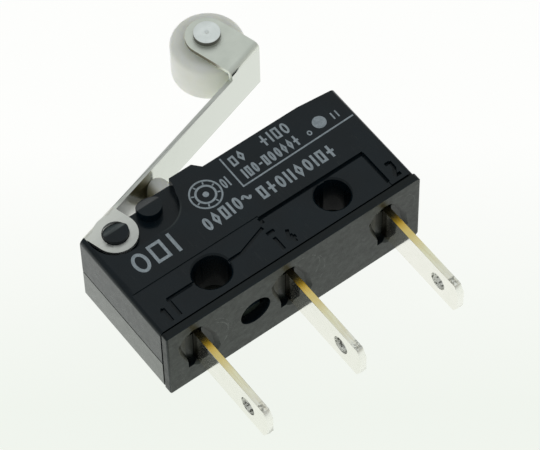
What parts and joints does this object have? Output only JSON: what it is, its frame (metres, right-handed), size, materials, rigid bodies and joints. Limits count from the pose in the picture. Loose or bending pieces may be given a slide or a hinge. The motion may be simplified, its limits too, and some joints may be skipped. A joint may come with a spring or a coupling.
{
  "type": "roller lever micro switch",
  "caption": "Snap-action switch in a flat black case with two mounting holes, a folded steel lever with a plastic roller, and blade terminals.",
  "frame": {"origin": "centre of the round mounting hole in the plane of the rear face", "axes": "+Z out of the front face, parallel to the mounting holes and the lever pivot; +Y from the blade terminals towards the lever; +X along the case away from the lever pivot"},
  "size_m": [0.02, 0.0269, 0.007],
  "materials": {
    "case_black": "fine matt moulding",
    "base_black": "scuffed matt moulding",
    "plated_brass": "tin-plated brass strip",
    "contact_silver": "silver alloy",
    "plunger_cream": "smooth moulding",
    "lever_steel": "satin stainless strip",
    "arm_copper": "spring copper strip",
    "spring_steel": "bright wire",
    "roller_white": "natural white moulding",
    "rivet_steel": "bright steel"
  },
  "bodies": {
    "case": {"front_cover": "case_black", "rear_housing": "case_black", "terminal_base": "base_black", "common_terminal": "plated_brass", "normally_open_terminal": "plated_brass", "normally_closed_terminal": "plated_brass", "open_contact": "contact_silver", "closed_contact": "contact_silver"},
    "lever": {"roller_lever": "lever_steel", "roller_axle": "rivet_steel"},
    "roller": {"roller": "roller_white"},
    "plunger": {"plunger": "plunger_cream"},
    "rocker": {"rocker": "lever_steel"},
    "contact_arm": {"contact_arm": "arm_copper", "moving_contact": "contact_silver", "snap_spring": "spring_steel"}
  },
  "joints": [
    {"name": "lever_hinge", "type": "hinge", "parent": "case", "child": "lever", "pos_m": [-0.01252, 0.00612, 0.0032], "axis": [0, 0, 1], "range_deg": [-12, 0], "stiffness_Nm_per_rad": 0.012, "springref_deg": 20.05},
    {"name": "roller_spin", "type": "hinge", "parent": "lever", "child": "roller", "pos_m": [0.00101, 0.01475, 0.00432], "axis": [0, 0, 1], "continuous": true},
    {"name": "plunger_slide", "type": "slide", "parent": "case", "child": "plunger", "axis": [0, -1, 0], "range_m": [0, 0.00106]},
    {"name": "rocker_hinge", "type": "hinge", "parent": "case", "child": "rocker", "pos_m": [-0.01213, 0.00475, 0.0032], "axis": [0, 0, 1], "range_deg": [-13.9, 0]},
    {"name": "contact_arm_hinge", "type": "hinge", "parent": "case", "child": "contact_arm", "pos_m": [-0.01213, 0.0032, 0.0032], "axis": [0, 0, 1], "range_deg": [-3.3, 0], "deforming": ["snap_spring"]}
  ],
  "couplings": [
    {"joint": "plunger_slide", "follows": "lever_hinge", "m_per_rad": -0.0050134},
    {"joint": "rocker_hinge", "follows": "lever_hinge", "ratio": 1.15},
    {"joint": "contact_arm_hinge", "follows": "lever_hinge", "ratio": 0.26667}
  ]
}
